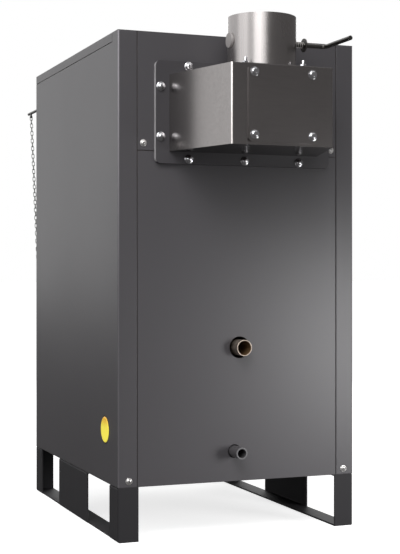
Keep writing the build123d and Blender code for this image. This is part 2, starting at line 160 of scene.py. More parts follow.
class Finish:
    """One material, built from nodes on the object's own coordinates."""

    def __init__(self, name):
        self.material = bpy.data.materials.new(name)
        self.material.use_nodes = True
        self.tree = self.material.node_tree
        self.tree.nodes.clear()
        self.place = self.add("ShaderNodeTexCoord", output="Object")

    def add(self, kind, settings=None, inputs=None, output=0):
        """Adds a node, sets it and joins its inputs, and gives one of its outputs."""
        node = self.tree.nodes.new(kind)
        for key, value in (settings or {}).items():
            setattr(node, key, value)
        for key, value in (inputs or {}).items():
            if isinstance(value, Signal):
                self.tree.links.new(value.socket, node.inputs[key])
            else:
                node.inputs[key].default_value = value
        return Signal(self, node.outputs[output])

    def noise(self, scale, detail=2.0, stretch=EVEN):
        """Noise of about this many grains a metre, drawn out by a stretch."""
        place = self.add("ShaderNodeMapping", inputs={"Vector": self.place, "Scale": stretch})
        return self.add("ShaderNodeTexNoise", inputs={"Vector": place, "Scale": scale, "Detail": detail})

    def blend(self, amount, first, second):
        """Colour between two colours."""
        values = {0: amount}
        for key, value in ((6, first), (7, second)):
            values[key] = value if isinstance(value, Signal) else solid(value)
        return self.add("ShaderNodeMix", {"data_type": "RGBA"}, values, output=2)

    def vector(self, operation, *values, output=0):
        """Vector Math node on these values."""
        return self.add("ShaderNodeVectorMath", {"operation": operation}, dict(enumerate(values)), output)

    def part(self, vector, axis):
        """One part of a vector, with 0, 1 and 2 for X, Y and Z."""
        return self.add("ShaderNodeSeparateXYZ", inputs={"Vector": vector}, output=axis)

    def bump(self, height, depth, edge=EDGE_ROUNDING):
        """Surface relief of a height signal, with its depth in metres, and edges rounded by a radius."""
        values = {"Height": height, "Distance": depth}
        if edge:
            values["Normal"] = self.add("ShaderNodeBevel", {"samples": 6}, {"Radius": edge})
        return self.add("ShaderNodeBump", inputs=values)

    def towards(self, direction):
        """1 where the surface faces within 20 degrees of a direction, and 0 from 50 degrees off."""
        normal = self.add("ShaderNodeTexCoord", output="Normal")
        cosine = self.vector("DOT_PRODUCT", normal, direction, output=1)
        return cosine.ramp(0.64, 0.94)

    def from_line(self, point, across):
        """Distance from a line through a point. Across is 1 on the axes that the distance counts."""
        offset = self.vector("SUBTRACT", self.place, point)
        return self.vector("LENGTH", self.vector("MULTIPLY", offset, across), output=1)

    def close(self, **sockets):
        """Joins the surface to the output. Socket names have _ for a space."""
        values = {key.replace("_", " "): value for key, value in sockets.items()}
        surface = self.add("ShaderNodeBsdfPrincipled", inputs=values)
        output = self.tree.nodes.new("ShaderNodeOutputMaterial")
        self.tree.links.new(surface.socket, output.inputs["Surface"])
        return self.material


def varied(value, *changes):
    """A value that signals change about its mean. Each change is a signal and the range that it adds."""
    total = value - sum(reach for signal, reach in changes) / 2
    for signal, reach in changes:
        total = signal * reach + total
    return total


def powder_coat(name, colour, roughness, gloss=0.4, grain=0.00004, edge=0.0012, painted_side_tone=None, rim=None,
                bend=None):
    """Baked powder paint with a fine texture and slow changes of tone.

    Painted side tone is the colour of faces to the side, painted there as a highlight, and rim that of
    faces to the rear. Bend is the X and Y of the casing's upright bends, which get a painted highlight.
    """
    paint = Finish(name)
    cloud = paint.noise(3.0, detail=3.0)
    texture = paint.noise(700.0, detail=3.0)
    specks = texture.ramp(0.55, 0.8) * 0.2
    tone = paint.blend(cloud, shaded(colour, 0.95), shaded(colour, 1.05))
    tone = paint.blend(specks, tone, shaded(colour, 1.2))
    # painted highlight: faces turned to +X take the painted side tone
    for direction, shade in ((SIDEWAYS, painted_side_tone), (REARWARD, rim)):
        if shade:
            tone = paint.blend(paint.towards(direction), tone, shade)
    if bend:
        tone = with_painted_bend_highlights(paint, colour, tone, bend)
    return paint.close(
        Base_Color=tone,
        Roughness=varied(roughness, (cloud, 0.08)),
        Specular_IOR_Level=gloss,
        Normal=paint.bump(texture, grain, edge),
    )


def with_painted_bend_highlights(paint, colour, tone, corner):
    """Adds painted highlights along the casing's upright bends, brighter towards the top."""
    width = 0.003
    reach = paint.vector("ABSOLUTE", paint.place)
    beside = paint.part(reach, 0).ramp(corner[0] - width, corner[0] - width / 2)
    behind = paint.part(reach, 1).ramp(corner[1] - width, corner[1] - width / 2)
    height = paint.part(paint.place, 2).ramp(0.35, 1.0)
    # painted highlight: the bend lines are lighter than the paint, more so towards the top
    pale = paint.blend(height, shaded(colour, 1.5), shaded(colour, 4.3))
    return paint.blend(beside * behind, tone, pale)


def satin_steel(name, colour, roughness, streaks=EVEN, metallic=1.0, grains=260.0, edge=EDGE_ROUNDING,
                painted_side_tone=None, painted_underside_shade=None, fold_highlight_point=None):
    """Drawn or rolled steel whose streaks follow a stretch.

    Painted side tone is the colour of faces to the side, painted there as shade, and painted underside
    shade that of lower faces, painted as shade under them. Fold is a point on an upright fold with a
    painted highlight.
    """
    steel = Finish(name)
    lines = steel.noise(grains, detail=4.0, stretch=streaks)
    cloud = steel.noise(9.0, detail=3.0)
    tone = steel.blend(cloud, shaded(colour, 0.92), shaded(colour, 1.06))
    tone = steel.blend(lines.ramp(0.3, 0.7) * 0.2, tone, shaded(colour, 0.6))
    # painted shade: faces turned to +X and faces turned down take the given colours
    for direction, shade in ((SIDEWAYS, painted_side_tone), (-UP, painted_underside_shade)):
        if shade:
            tone = steel.blend(steel.towards(direction), tone, shade)
    # painted highlight: a bright line along the upright fold
    if fold_highlight_point:
        away = steel.from_line(fold_highlight_point, (1, 1, 0)).ramp(0.0010, 0.0024)
        tone = steel.blend(away, FOLD_HIGHLIGHT, tone)
    return steel.close(
        Base_Color=tone,
        Metallic=metallic,
        Roughness=varied(roughness, (lines, 0.08), (cloud, 0.06)),
        Normal=steel.bump(lines, 0.000002, edge),
    )


def zinc_plate(name, colour):
    """Bright zinc of bolts and screws, a little uneven."""
    zinc = Finish(name)
    cloud = zinc.noise(90.0, detail=3.0)
    return zinc.close(
        Base_Color=zinc.blend(cloud, shaded(colour, 0.8), colour),
        Metallic=0.85,
        Roughness=varied(0.33, (cloud, 0.14)),
        Normal=zinc.bump(zinc.noise(1500.0), 0.00001),
    )


def worn_plastic(name, colour, roughness):
    """Moulded plastic with a fine grain."""
    plastic = Finish(name)
    cloud = plastic.noise(25.0)
    return plastic.close(
        Base_Color=plastic.blend(cloud, shaded(colour, 0.88), shaded(colour, 1.08)),
        Roughness=varied(roughness, (cloud, 0.1)),
        Normal=plastic.bump(plastic.noise(500.0), 0.00004),
    )


def glowing_shaded_plastic(name, colour, top_shade_colour, low, high):
    """Plastic with a painted glow, and another colour towards its top as painted shade."""
    plastic = Finish(name)
    # painted shade: darker towards the top
    height = plastic.part(plastic.place, 2).ramp(low, high)
    tone = plastic.blend(height, colour, top_shade_colour)
    return plastic.close(
        Base_Color=tone,
        # painted glow: the plastic emits its own colour though it is no lamp
        Emission_Color=tone,
        Emission_Strength=0.42,
        Roughness=varied(0.35, (plastic.noise(25.0), 0.1)),
        Normal=plastic.bump(plastic.noise(500.0), 0.00004),
    )


def pipe_steel(name, centre, across):
    """Pipe steel with rust spots, brown in its bore. Across is 1 on the axes across the pipe."""
    bore_radius, blur = 0.013, 0.0002
    steel = Finish(name)
    cloud = steel.noise(60.0, detail=5.0)
    lines = steel.noise(300.0, stretch=ALONG_Y)
    spots = cloud.ramp(0.52, 0.75)
    outside = steel.from_line(centre, across).ramp(bore_radius - blur, bore_radius + blur)
    tone = steel.blend(lines, shaded(PIPE_STEEL, 0.8), shaded(PIPE_STEEL, 1.1))
    tone = steel.blend(spots, tone, PIPE_RUST)
    tone = steel.blend(outside, PIPE_BORE, tone)
    return steel.close(
        Base_Color=tone,
        Metallic=(1 - spots) * outside * 0.9,
        Roughness=varied(0.425, (cloud, 0.25)),
        Normal=steel.bump(cloud, 0.0001),
    )


def dress(material, *nodes):
    """Gives CAD nodes a material."""
    for node in nodes:
        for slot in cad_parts[node].material_slots:
            slot.material = material


def made(mesh, name, body, material, crease=35):
    """Turns a bmesh into a finished piece that rides on a body."""
    bmesh.ops.recalc_face_normals(mesh, faces=mesh.faces)
    data = bpy.data.meshes.new(name)
    mesh.to_mesh(data)
    mesh.free()
    piece = bpy.data.objects.new(name, data)
    bpy.context.collection.objects.link(piece)
    data.materials.append(material)
    data.shade_smooth()
    data.set_sharp_from_angle(angle=radians(crease))
    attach(piece, body)
    return piece


def facing(place, outward, turn=0.0):
    """Matrix that stands a shape made along +Z on a place, pointing outward."""
    look = Vector(outward).to_track_quat("Z", "Y").to_matrix().to_4x4()
    return Matrix.Translation(place) @ look @ Matrix.Rotation(turn, 4, "Z")


def repeated(shape, places):
    """One mesh with a copy of the shape at each place. The shape is used up."""
    single = bpy.data.meshes.new("single")
    shape.to_mesh(single)
    shape.free()
    whole = bmesh.new()
    for place in places:
        count = len(whole.verts)
        whole.from_mesh(single)
        whole.verts.ensure_lookup_table()
        bmesh.ops.transform(whole, matrix=place, verts=whole.verts[count:])
    bpy.data.meshes.remove(single)
    return whole


def turned(mesh, outline, steps=24):
    """Full turn of an outline of (radius, height) points about +Z."""
    points = [mesh.verts.new((radius, 0, height)) for radius, height in outline]
    edges = [mesh.edges.new(pair) for pair in zip(points, points[1:])]
    around = dict(cent=(0, 0, 0), axis=(0, 0, 1), angle=tau, steps=steps)
    bmesh.ops.spin(mesh, geom=points + edges, use_merge=True, **around)
    bmesh.ops.remove_doubles(mesh, verts=mesh.verts, dist=1e-6)


def prism(mesh, sides, across_flats, low, high, edge):
    """Straight prism about +Z whose upper corners are broken by an edge width."""
    radius = across_flats / 2 / cos(pi / sides)
    before = set(mesh.faces)
    spot = Matrix.Translation((0, 0, low))
    bmesh.ops.create_circle(mesh, cap_ends=True, segments=sides, radius=radius, matrix=spot)
    base = [face for face in mesh.faces if face not in before]
    grown = bmesh.ops.extrude_face_region(mesh, geom=base, use_keep_orig=True)["geom"]
    top = [item for item in grown if isinstance(item, bmesh.types.BMVert)]
    bmesh.ops.translate(mesh, verts=top, vec=(0, 0, high - low))
    rim = [item for item in grown if isinstance(item, bmesh.types.BMEdge)]
    bmesh.ops.bevel(mesh, geom=rim, offset=edge, affect="EDGES", segments=2, profile=0.5, material=-1)


def scaled(outline, size):
    """Outline whose (radius, height) points are given in shares of a size."""
    return [(radius * size, height * size) for radius, height in outline]


def hex_bolt(size, flat=1.0):
    """Washer, and a hexagon head with a rounded top. Flat is the share of a full head's height."""
    washer = [(0.3, 0), (0.98, 0), (1, 0.04), (1, 0.1), (0.9, 0.15), (0.3, 0.15)]
    dome = [(0.72, 0.5), (0.64, 0.62), (0.42, 0.73), (0, 0.78)]
    bolt = bmesh.new()
    turned(bolt, scaled(washer, size))
    prism(bolt, 6, size * 1.56, size * 0.15, size * 0.56, size * 0.12)
    turned(bolt, scaled(dome, size))
    bmesh.ops.scale(bolt, vec=(1, 1, flat), verts=bolt.verts)
    return bolt


def pan_screw(size):
    """Domed screw head on its thin washer. Size is the head's radius."""
    steps = 6
    rim = 0.18
    angles = [radians(90) * n / steps for n in range(steps)]
    washer = [(1.25, 0), (1.25, rim * 0.7), (1.2, rim)]
    dome = [(cos(angle), rim + 0.5 * sin(angle)) for angle in angles]
    screw = bmesh.new()
    turned(screw, scaled(washer + dome + [(0, 0.68)], size))
    return screw


def recess_shade_cross(size):
    """Dark cross just proud of a screw's dome, as painted shade of its cross recess."""
    cross = bmesh.new()
    bar = Matrix.Diagonal((size * 0.8, size * 0.16, size * 0.12, 1))
    for angle in (0, radians(90)):
        spot = Matrix.Translation((0, 0, size * 0.65)) @ Matrix.Rotation(angle, 4, "Z") @ bar
        bmesh.ops.create_cube(cross, size=1, matrix=spot)
    return cross


def loop_link(inner_length, inner_width, wire):
    """Oval chain link of round wire, its long way along X."""
    link = bmesh.new()
    arm = (inner_width + wire) / 2
    run = inner_length - inner_width
    start = Matrix.Translation((run / 2, arm, 0)) @ Matrix.Rotation(radians(90), 4, "Y")
    bmesh.ops.create_circle(link, segments=8, radius=wire / 2, matrix=start)
    last = list(link.verts) + list(link.edges)
    for side in (1, -1):
        bend = dict(cent=(side * run / 2, 0, 0), axis=(0, 0, 1), angle=-pi, steps=8)
        last = bmesh.ops.spin(link, geom=last, use_merge=False, **bend)["geom_last"]
        rim = [item for item in last if isinstance(item, bmesh.types.BMEdge)]
        last = bmesh.ops.extrude_edge_only(link, edges=rim)["geom"]
        moved = [item for item in last if isinstance(item, bmesh.types.BMVert)]
        bmesh.ops.translate(link, verts=moved, vec=(-side * run, 0, 0))
        last = [item for item in last if not isinstance(item, bmesh.types.BMFace)]
    bmesh.ops.remove_doubles(link, verts=link.verts, dist=1e-6)
    return link


def coil(mesh, section, radius, pitch, turns, steps=18):
    """Helix about +Z of a small section, given as (out, along) points round the wire."""
    points = [mesh.verts.new((radius + out, 0, along)) for out, along in section]
    edges = [mesh.edges.new((points[n - 1], points[n])) for n in range(len(points))]
    count = round(turns * steps)
    turn = dict(cent=(0, 0, 0), axis=(0, 0, 1), dvec=(0, 0, pitch / steps), angle=tau * turns)
    bmesh.ops.spin(mesh, geom=points + edges, steps=count, use_merge=False, **turn)
    open_edges = [edge for edge in mesh.edges if edge.is_boundary]
    bmesh.ops.holes_fill(mesh, edges=open_edges, sides=len(section))


def wire_section(diameter, sides=8):
    """Points round the section of a wire."""
    angles = [tau * n / sides for n in range(sides)]
    return [(diameter / 2 * cos(angle), diameter / 2 * sin(angle)) for angle in angles]


class BoilerSettings(PropertyGroup):
    """Colours and sizes that can be changed"""

    casing_colour: FloatVectorProperty(
        name="Casing",
        description="Paint of the casing sheets",
        subtype="COLOR",
        default=linear(77, 75, 78),
    )
    flue_colour: FloatVectorProperty(
        name="Flue",
        description="Steel of the flue hood and collar",
        subtype="COLOR",
        default=linear(169, 165, 164),
    )
    frame_colour: FloatVectorProperty(
        name="Legs",
        description="Paint of the side frames",
        subtype="COLOR",
        default=linear(52, 51, 53),
    )
    plug_colour: FloatVectorProperty(
        name="Plug",
        description="Plastic of the side plugs",
        subtype="COLOR",
        default=linear(255, 238, 84),
    )
    zinc_colour: FloatVectorProperty(
        name="Zinc",
        description="Plating of bolts, screws and nuts",
        subtype="COLOR",
        default=linear(226, 224, 222),
    )
    flue_diameter: FloatProperty(
        name="Flue diameter", description="Outside of the flue collar", default=0.12, unit="LENGTH"
    )
    bolt_size: FloatProperty(
        name="Bolt", description="Thread size of the flue bolts", default=0.008, unit="LENGTH"
    )
    screw_size: FloatProperty(
        name="Screw", description="Radius of a casing screw's head", default=0.005, unit="LENGTH"
    )
    chain_pitch: FloatProperty(
        name="Chain pitch",
        description="Length of a link's place in the chain",
        default=0.009,
        unit="LENGTH",
    )
    chain_wire: FloatProperty(
        name="Chain wire", description="Wire of the chain's links", default=0.0016, unit="LENGTH"
    )
    spring_turns: IntProperty(name="Spring turns", description="Turns of the damper spring", default=5)


class BoilerOperator:
    """Settings and options that every operator here shares."""

    bl_options = {"REGISTER", "UNDO"}

    @property
    def sizes(self):
        """The boiler's settings in this scene."""
        return bpy.context.scene.boiler_settings


class BOILER_OT_stage(Operator):
    """Pale floor, soft lamps and the camera at the photograph's place"""

    bl_idname = "boiler.stage"
    bl_label = "Studio"

    def execute(self, context):
        self.make_camera(context)
        self.make_floor(context)
        self.make_world(context)
        self.make_lamps(context)
        self.make_screens(context)
        context.scene.view_settings.view_transform = "Standard"
        return {"FINISHED"}

    def make_camera(self, context):
        """Camera solved from the casing's corners in the photograph."""
        data = bpy.data.cameras.new("camera")
        data.lens = 83.10
        data.sensor_width = 36
        data.shift_y = -0.0076
        data.clip_end = 200
        camera = bpy.data.objects.new("camera", data)
        camera.location = (0.9022, 2.4333, 0.4716)
        camera.rotation_euler = (radians(90), 0, radians(158.793))
        context.collection.objects.link(camera)
        context.scene.camera = camera

    def make_floor(self, context):
        """Flat floor that reaches past the horizon."""
        ground = bmesh.new()
        bmesh.ops.create_grid(ground, x_segments=2, y_segments=2, size=60)
        data = bpy.data.meshes.new("floor")
        ground.to_mesh(data)
        ground.free()
        floor = bpy.data.objects.new("floor", data)
        context.collection.objects.link(floor)
        data.materials.append(self.floor_material())

    def floor_material(self):
        """White to the camera with the object's shadow, and a darker grey to the object."""
        pale = Finish("floor_white")
        camera_ray = pale.add("ShaderNodeLightPath", output="Is Camera Ray")
        glossy_ray = pale.add("ShaderNodeLightPath", output="Is Glossy Ray")
        seen = camera_ray + glossy_ray
        grey = pale.blend(seen, (0.35,) * 3, (0.8,) * 3)
        matt = pale.add("ShaderNodeBsdfDiffuse", inputs={"Color": grey})
        glow = pale.add("ShaderNodeEmission", inputs={"Color": (1, 1, 1, 1), "Strength": seen * 0.75})
        both = pale.add("ShaderNodeAddShader", inputs={0: matt, 1: glow})
        output = pale.tree.nodes.new("ShaderNodeOutputMaterial")
        pale.tree.links.new(both.socket, output.inputs["Surface"])
        return pale.material

    def make_world(self, context):
        """White behind the object and in its reflections, and a soft grey light on it."""
        world = bpy.data.worlds.new("studio")
        world.use_nodes = True
        context.scene.world = world
        nodes, links = world.node_tree.nodes, world.node_tree.links
        path = nodes.new("ShaderNodeLightPath")
        seen = path.outputs["Is Camera Ray"]
        for ray in ("Is Glossy Ray", "Is Transmission Ray"):
            total = nodes.new("ShaderNodeMath")
            total.operation = "ADD"
            links.new(seen, total.inputs[0])
            links.new(path.outputs[ray], total.inputs[1])
            seen = total.outputs[0]
        strength = nodes.new("ShaderNodeMapRange")
        links.new(seen, strength.inputs["Value"])
        strength.inputs["To Min"].default_value = 0.38
        strength.inputs["To Max"].default_value = 1.0
        background = nodes["Background"]
        background.inputs["Color"].default_value = (1, 1, 1, 1)
        links.new(strength.outputs[0], background.inputs["Strength"])

    def make_lamps(self, context):
        """Softboxes with what each one is aimed at, its size, power and the width of its beam."""
        lamps = {
            "key_softbox": ((1.02, 2.23, 1.48), (0, 0.35, 0.8), (1.5, 1.0), 9.6, 180),
            "side_softbox": ((1.8, 0.45, 1.6), (0.2, 0.1, 0.8), (1.3, 1.2), 4.6, 180),
            "low_softbox": ((-0.88, 1.35, 0.30), (-0.22, 0.3, 0.12), (0.5, 0.5), 1.35, 60),
            "top_softbox": ((0.8, 1.7, 2.1), (0.1, 0.3, 0.8), (1.2, 1.0), 25, 180),
            "front_softbox": ((-1.0, -2.4, 1.5), (0, 0, 0.5), (1.6, 1.2), 24, 180),
        }
        for name, (place, aim, size, power, beam) in lamps.items():
            data = bpy.data.lights.new(name, "AREA")
            data.shape = "RECTANGLE"
            data.size, data.size_y = size
            data.energy = power
            data.spread = radians(beam)
            lamp = bpy.data.objects.new(name, data)
            lamp.location = place
            lamp.rotation_euler = (Vector(aim) - Vector(place)).to_track_quat("-Z", "Y").to_euler()
            context.collection.objects.link(lamp)

    def make_screens(self, context):
        """Grey cloths that only reflections show: one round the rear and left, one over the floor."""
        wall_radius, wall_height, floor_radius = 3.2, 3.5, 15
        first_angle, swept_angle = radians(72), radians(150)
        above_floor = 0.001
        cloths = []
        for name, grey in (("far_grey", 0.15), ("floor_grey", 0.09)):
            cloth = Finish(name)
            glow = cloth.add("ShaderNodeEmission", inputs={"Color": (1, 0.97, 0.97, 1), "Strength": grey})
            output = cloth.tree.nodes.new("ShaderNodeOutputMaterial")
            cloth.tree.links.new(glow.socket, output.inputs["Surface"])
            cloths.append(cloth.material)
        wall = bmesh.new()
        start = Matrix.Rotation(first_angle, 4, "Z") @ Vector((wall_radius, 0, 0))
        ends = [wall.verts.new(start), wall.verts.new(start + UP * wall_height)]
        sweep = dict(cent=(0, 0, 0), axis=(0, 0, 1), angle=swept_angle, steps=24)
        bmesh.ops.spin(wall, geom=ends + [wall.edges.new(ends)], use_merge=False, **sweep)
        ground = bmesh.new()
        spot = Matrix.Translation((0, 0, above_floor))
        bmesh.ops.create_circle(ground, cap_ends=True, segments=48, radius=floor_radius, matrix=spot)
        for name, mesh, cloth in zip(("far_screen", "floor_screen"), (wall, ground), cloths):
            data = bpy.data.meshes.new(name)
            mesh.to_mesh(data)
            mesh.free()
            data.materials.append(cloth)
            screen = bpy.data.objects.new(name, data)
            context.collection.objects.link(screen)
            for ray in ("camera", "diffuse", "transmission", "shadow"):
                setattr(screen, "visible_" + ray, False)


class BOILER_OT_casing(BoilerOperator, Operator):
    """Paint of the casing, its doors and side frames"""

    bl_idname = "boiler.casing"
    bl_label = "Casing paint"

    def execute(self, context):
        casing = powder_coat("casing_paint", self.sizes.casing_colour, 0.36)
        dress(casing, "top_cover", "upper_rear_cover", "lower_rear_panel", "front_panel")
        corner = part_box("side_panel_right")[1][:2]
        # bend gives the side panels painted highlights along their upright bends
        sides = powder_coat("side_paint", self.sizes.casing_colour, 0.36, edge=0.0025, bend=corner)
        dress(sides, "side_panel_right", "side_panel_left")
        legs = powder_coat("frame_paint", self.sizes.frame_colour, 0.6, gloss=0.12)
        dress(legs, "leg_frame_right", "leg_frame_left", "base_plate")
        doors = powder_coat("door_paint", DOOR_PAINT, 0.45, grain=0.00012)
        dress(doors, "loading_door", "ash_door", "door_frame", "air_inlet", "air_flap")
        dress(doors, "loading_door_hinges", "ash_door_hinges")
        body = satin_steel("body_steel", BODY_STEEL, 0.5, metallic=0.6)
        dress(body, "boiler_body")
        low, high = (Vector(corner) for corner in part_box("side_plug_right"))
        centre = (low.z + high.z) / 2
        # the plugs glow and are painted darker towards their top as shade
        plug = glowing_shaded_plastic("plug_yellow", self.sizes.plug_colour, PLUG_TOP_SHADE, centre, high.z)
        dress(plug, "side_plug_right", "side_plug_left")
        # dark rings of painted shade round the plugs
        self.make_plug_shadow_rings(high.z - centre)
        return {"FINISHED"}

    def make_plug_shadow_rings(self, radius):
        """Flat dark rings round the side plugs, put there as painted shade of the gap round each plug."""
        width, thickness, tuck = 0.0016, 0.0003, 0.001
        inner, outer = radius - tuck, radius + width
        shade_ring = bmesh.new()
        turned(shade_ring, [(inner, 0), (outer, 0), (outer, thickness), (inner, thickness)], 48)
        plug = middle("side_plug_right")
        panel_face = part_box("side_panel_right")[1][0]
        places = []
        for side in (-1, 1):
            place = Vector((side * panel_face, plug.y, plug.z))
            places.append(facing(place, SIDEWAYS * side))
        black = worn_plastic("plug_ring_shade", PLUG_RING_SHADE, 0.7)
        made(repeated(shade_ring, places), "plug_shadow_rings", "boiler", black)


class BOILER_OT_flue(BoilerOperator, Operator):
    """Satin steel of the flue hood, its plate and collar, and the damper"""

    bl_idname = "boiler.flue"
    bl_label = "Flue steel"

    def execute(self, context):
        colour = self.sizes.flue_colour
        rolled = shaded(colour, 0.9)
        # the hood's lower faces are painted darker as shade
        hood = satin_steel(
            "hood_steel", rolled, 0.24, ALONG_X, painted_underside_shade=HOOD_UNDERSIDE_SHADE, fold_highlight_point=self.hood_fold()
        )
        dress(hood, "flue_hood")
        # the cover's faces turned to +X get painted shade, which keeps their edge dark
        cover = satin_steel("cover_steel", rolled, 0.24, ALONG_X, edge=0, painted_side_tone=COVER_SIDE_SHADE)
        dress(cover, "flue_cover_plate")
        # the plate's faces turned to +X get a painted highlight
        plate = powder_coat("plate_paint", PLATE_PAINT, 0.38, painted_side_tone=PLATE_SIDE_HIGHLIGHT)
        dress(plate, "flue_base_plate", "damper_plate")
        pipe = satin_steel("collar_steel", colour, 0.27, ALONG_Z, grains=110.0, edge=0)
        dress(pipe, "flue_collar")
        boss = satin_steel("boss_steel", colour, 0.5, metallic=0.3)
        dress(boss, "damper_boss")
        self.make_wall(pipe)
        rod = satin_steel("rod_steel", ROD_STEEL, 0.35, ACROSS_Z, metallic=0.9)
        dress(rod, "damper_handle", "damper_washer", "regulator_lever")
        return {"FINISHED"}

    def hood_fold(self):
        """Point on the upright fold where the hood's rear face meets its slanted face."""
        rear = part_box("flue_hood")[1][1]
        near = 0.0005
        points = [point.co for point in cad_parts["flue_hood"].data.vertices]
        return Vector((max(point.x for point in points if point.y > rear - near), rear, 0))

    def make_wall(self, steel):
        """Smooth outer wall that gives the collar one diameter from its foot to its rim."""
        low, high = (Vector(corner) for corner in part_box("flue_collar"))
        centre = (low + high) / 2
        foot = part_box("flue_hood")[1][2] + COLLAR_FOOT
        skin = 0.0001
        inner = self.sizes.flue_diameter / 2 - skin
        outer = self.sizes.flue_diameter / 2 + skin
        rim = high.z - skin
        wall = bmesh.new()
        turned(wall, [(inner, foot), (outer, foot), (outer, rim), (inner, rim)], 96)
        bmesh.ops.translate(wall, verts=wall.verts, vec=(centre.x, centre.y, 0))
        made(wall, "collar_wall", "boiler", steel)


class BOILER_OT_water_pipes(BoilerOperator, Operator):
    """Steel of the water connections"""

    bl_idname = "boiler.water_pipes"
    bl_label = "Water pipes"

    def execute(self, context):
        for node, across in (("return_pipe", (1, 0, 1)), ("supply_pipe", (1, 1, 0))):
            dress(pipe_steel(node + "_steel", middle(node), across), node)
        dark = powder_coat("drain_paint", DRAIN_PAINT, 0.3, rim=DRAIN_RIM)
        dress(dark, "drain_pipe")
        return {"FINISHED"}


class BOILER_OT_controls(BoilerOperator, Operator):
    """Plastic and rims of the handles, the regulator and the thermometer"""

    bl_idname = "boiler.controls"
    bl_label = "Controls"

    def execute(self, context):
        black = worn_plastic("handle_black", HANDLE_BLACK, 0.4)
        dress(black, "loading_door_handle", "ash_door_handle", "draught_regulator")
        rim = satin_steel("gauge_rim", GAUGE_RIM, 0.22)
        dress(rim, "thermometer")
        return {"FINISHED"}


class BOILER_OT_casing_screws(BoilerOperator, Operator):
    """Domed screws that hold the casing sheets"""

    bl_idname = "boiler.casing_screws"
    bl_label = "Casing screws"

    def execute(self, context):
        low, high = (Vector(corner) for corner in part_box("side_panel_right"))
        cover_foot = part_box("upper_rear_cover")[0][2]
        cover_in, cover_up = 0.0467, 0.0125
        corner_in, corner_up = 0.0202, 0.0108
        screws = []
        for side in (-1, 1):
            cover_place = Vector((side * (high.x - cover_in), high.y, cover_foot + cover_up))
            rear_place = Vector((side * (high.x - corner_in), high.y, low.z + corner_up))
            screws += [facing(cover_place, REARWARD), facing(rear_place, REARWARD)]
        for side in (-1, 1):
            front_place = Vector((side * (high.x - corner_in), low.y, low.z + corner_up))
            screws.append(facing(front_place, FORWARD))
        shape = repeated(pan_screw(self.sizes.screw_size), screws)
        zinc = zinc_plate("zinc", self.sizes.zinc_colour)
        made(shape, "casing_screws", "boiler", zinc)
        # dark crosses of painted shade where the screws' recesses are
        marks = repeated(recess_shade_cross(self.sizes.screw_size), screws)
        recess = worn_plastic("recess_shade", RECESS_SHADE, 0.6)
        made(marks, "screw_recess_shades", "boiler", recess)
        return {"FINISHED"}


class BOILER_OT_flue_bolts(BoilerOperator, Operator):
    """Hexagon bolts of the flue plate and of its cleaning cover"""

    bl_idname = "boiler.flue_bolts"
    bl_label = "Flue bolts"

    def execute(self, context):
        zinc = bpy.data.materials["zinc"]
        size = self.sizes.bolt_size
        side_x, side_z = 0.160, 0.044
        edge_x, edge_z = 0.1073, 0.082
        spots = [(side * side_x, high * side_z) for side in (-1, 1) for high in (-1, 1)]
        spots += [(side * edge_x, high * edge_z) for side in (-1, 0, 1) for high in (-1, 1)]
        plate_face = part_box("flue_base_plate")[1][1]
        bolts = self.turned_places(spots, plate_face, 0.3, 0.7)
        made(repeated(hex_bolt(size), bolts), "flue_plate_bolts", "boiler", zinc)
        cover_x, cover_z = 0.0535, 0.0525
        spots = [(side * cover_x, high * cover_z) for side in (-1, 1) for high in (-1, 1)]
        cover_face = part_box("flue_cover_plate")[1][1]
        bolts = self.turned_places(spots, cover_face, 0.5, 0.9)
        made(repeated(hex_bolt(size, flat=0.64), bolts), "cover_bolts", "boiler", zinc)
        return {"FINISHED"}

    def turned_places(self, spots, face, first_turn, step):
        """Places at X and Z from the plate's middle, each turned on from the one before."""
        plate = middle("flue_base_plate")
        places = []
        for number, (x, z) in enumerate(spots):
            place = Vector((plate.x + x, face, plate.z + z))
            places.append(facing(place, REARWARD, first_turn + step * number))
        return places


class BOILER_OT_collar_studs(BoilerOperator, Operator):
    """Studs with nuts that hold the collar's square foot"""

    bl_idname = "boiler.collar_studs"
    bl_label = "Collar studs"

    def execute(self, context):
        size = self.sizes.bolt_size * 0.75
        washer = [(0, 0), (1, 0), (1, 0.2), (0, 0.2)]
        thread_end = [(0.5, 1), (0.5, 2), (0.4, 2.15), (0, 2.15)]
        stud = bmesh.new()
        turned(stud, scaled(washer, size))
        prism(stud, 6, size * 1.65, size * 0.2, size, size * 0.1)
        turned(stud, scaled(thread_end, size))
        centre = middle("flue_collar")
        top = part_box("flue_hood")[1][2] + COLLAR_FOOT
        from_centre, slight_turn = 0.054, 0.4
        places = []
        for side in (-1, 1):
            for back in (-1, 1):
                place = (centre.x + side * from_centre, centre.y + back * from_centre, top)
                places.append(facing(place, UP, side * slight_turn))
        made(repeated(stud, places), "collar_studs", "boiler", bpy.data.materials["zinc"])
        return {"FINISHED"}


class BOILER_OT_damper_spring(BoilerOperator, Operator):
    """Coil spring that keeps the damper where it is set"""

    bl_idname = "boiler.damper_spring"
    bl_label = "Damper spring"

    def execute(self, context):
        low, high = (Vector(corner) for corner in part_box("damper_spring"))
        wire = 0.0013
        radius = (high.z - low.z - wire) / 2
        turns = self.sizes.spring_turns
        pitch = (high.x - low.x - wire) / turns
        spring = bmesh.new()
        coil(spring, wire_section(wire), radius, pitch, turns)
        start = Vector((low.x + wire / 2, (low.y + high.y) / 2, (low.z + high.z) / 2))
        bmesh.ops.transform(spring, matrix=facing(start, SIDEWAYS), verts=spring.verts)
        steel = zinc_plate("spring_steel", SPRING_STEEL)
        piece = made(spring, "damper_coil", "damper", steel)
        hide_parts("damper_spring")
        return {"FINISHED"}


